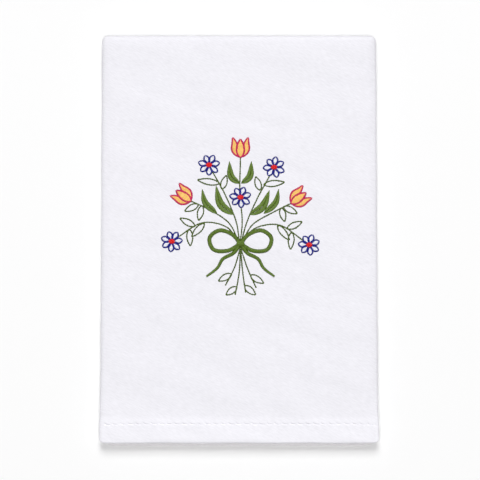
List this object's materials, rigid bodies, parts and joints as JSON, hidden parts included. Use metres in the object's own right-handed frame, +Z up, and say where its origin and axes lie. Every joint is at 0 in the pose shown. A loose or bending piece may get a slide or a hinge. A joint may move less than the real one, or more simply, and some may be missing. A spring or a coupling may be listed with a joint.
{
  "type": "folded tea towel",
  "caption": "White cotton tea towel lying flat, folded in thirds along its length and then in half, with a stitched hem and a sprig worked in thread on its upper face.",
  "frame": {"origin": "under the middle of the folded towel, on the surface that it lies on", "axes": "+X across the folded towel to its right side edge, +Y along it from the hems to the crosswise fold, +Z up out of its upper face"},
  "size_m": [0.2392, 0.3544, 0.0123],
  "materials": {
    "cotton": "soft brushed white cotton, matt"
  },
  "bodies": {
    "root": {"towel": "cotton"}
  },
  "joints": []
}
